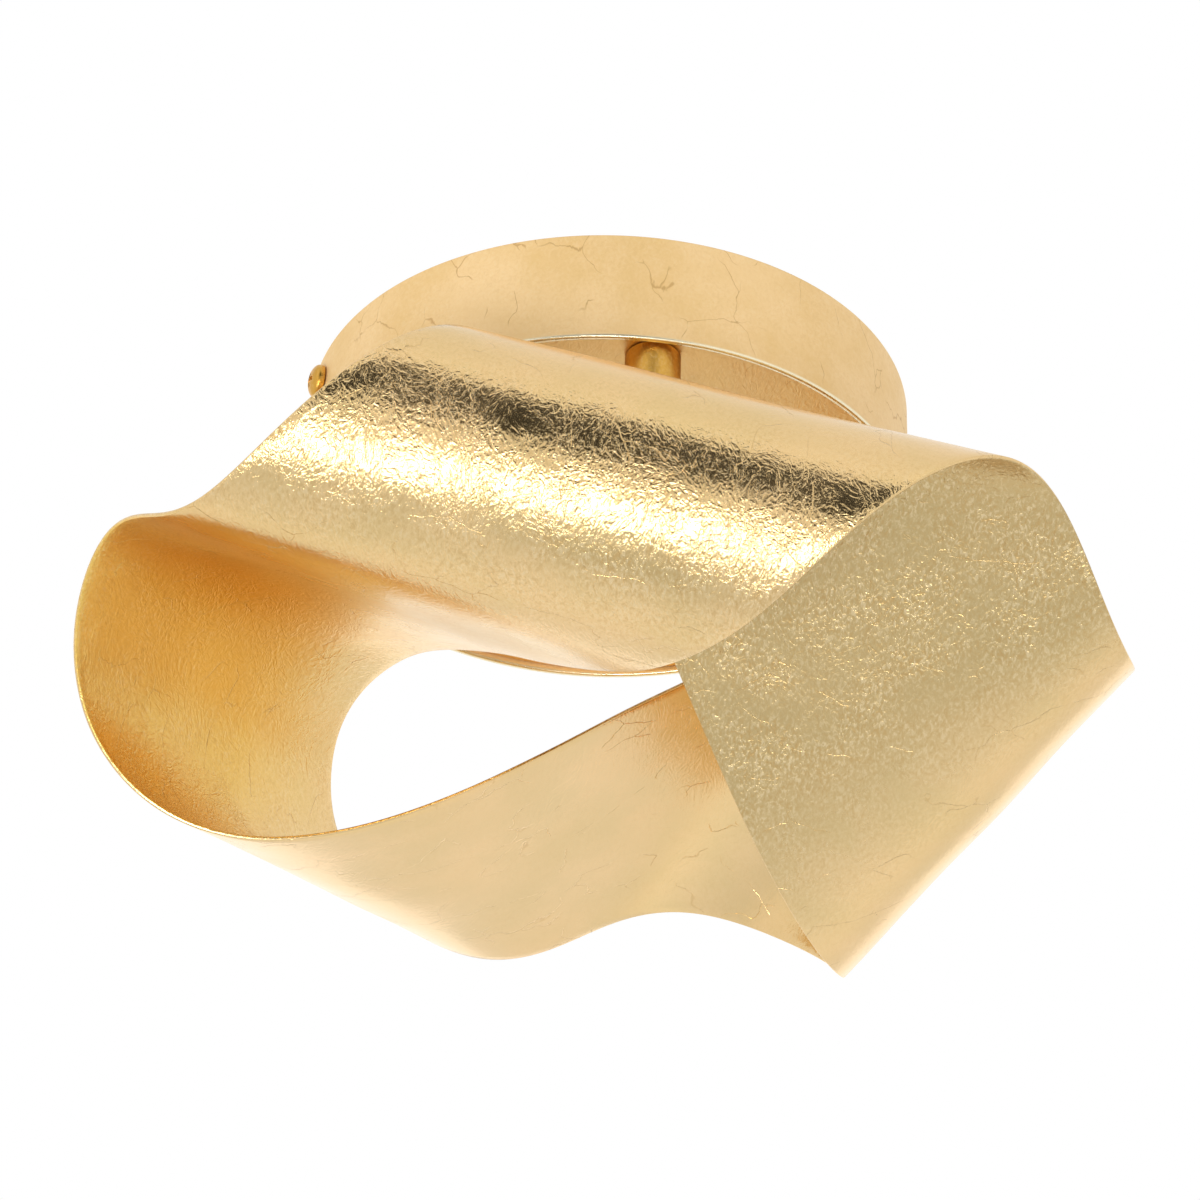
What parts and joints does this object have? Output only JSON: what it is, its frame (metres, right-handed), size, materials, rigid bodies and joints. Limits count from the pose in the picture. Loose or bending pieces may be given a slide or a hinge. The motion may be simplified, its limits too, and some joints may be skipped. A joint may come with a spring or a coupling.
{
  "type": "wall lamp",
  "caption": "Ceiling or wall lamp: a round canopy carries a closed, twisted sheet ribbon in gold leaf on short posts, and lights it from an opal diffuser.",
  "frame": {"origin": "middle of the bracket's mounting face, on the canopy's axis", "axes": "+Z along the canopy's axis, out of the lamp into the ceiling or wall; X through the two side screws"},
  "size_m": [0.3068, 0.2857, 0.1406],
  "materials": {
    "gold_leaf": "gold leaf over steel, finely wrinkled",
    "zinc_steel": "zinc plated",
    "brass_screw": "satin",
    "bare_aluminium": "spun, bare",
    "white_mask": "white solder mask",
    "phosphor": "yellow phosphor",
    "opal_acrylic": "opal, satin",
    "white_plastic": "moulded",
    "green_board": "green solder mask",
    "copper_coil": "varnished copper winding",
    "black_plastic": "sleeved",
    "brown_lead": "insulation",
    "blue_lead": "insulation",
    "red_lead": "insulation",
    "black_lead": "insulation"
  },
  "bodies": {
    "bracket": {"bracket": "zinc_steel", "earth_screw": "brass_screw", "earth_washer": "brass_screw"},
    "lamp": {"ribbon": "gold_leaf", "canopy_wall": "gold_leaf", "canopy_plate": "gold_leaf", "post_1": "gold_leaf", "post_2": "gold_leaf", "post_3": "gold_leaf", "side_nut_left": "zinc_steel", "side_nut_right": "zinc_steel", "post_bolt_1": "zinc_steel", "post_bolt_2": "zinc_steel", "post_bolt_3": "zinc_steel", "carrier_screw_1": "zinc_steel", "carrier_screw_2": "zinc_steel", "carrier_screw_3": "zinc_steel", "driver_screw_1": "zinc_steel", "driver_screw_2": "zinc_steel", "terminal_screw_1": "brass_screw", "terminal_screw_2": "brass_screw", "terminal_screw_3": "brass_screw", "led_carrier": "bare_aluminium", "led_board": "white_mask", "led_1": "phosphor", "led_2": "phosphor", "led_3": "phosphor", "led_4": "phosphor", "led_5": "phosphor", "led_6": "phosphor", "diffuser": "opal_acrylic", "driver_case": "white_plastic", "driver_lid": "white_plastic", "terminal_block": "white_plastic", "driver_board": "green_board", "driver_coil": "copper_coil", "driver_capacitor": "black_plastic", "supply_lead_live": "brown_lead", "supply_lead_neutral": "blue_lead", "light_lead_plus": "red_lead", "light_lead_minus": "black_lead"},
    "side_screw_left": {"side_screw_left": "gold_leaf"},
    "side_screw_right": {"side_screw_right": "gold_leaf"}
  },
  "joints": [
    {"name": "lamp_off_bracket", "type": "slide", "parent": "bracket", "child": "lamp", "axis": [0, 0, -1], "range_m": [0, 0.06]},
    {"name": "side_screw_left_turn", "type": "hinge", "parent": "lamp", "child": "side_screw_left", "pos_m": [-0.08588, -0.0279, -0.01], "axis": [-0.9511, -0.309, 0], "range_deg": [0, 720]},
    {"name": "side_screw_right_turn", "type": "hinge", "parent": "lamp", "child": "side_screw_right", "pos_m": [0.08588, 0.0279, -0.01], "axis": [0.9511, 0.309, 0], "range_deg": [0, 720]}
  ]
}
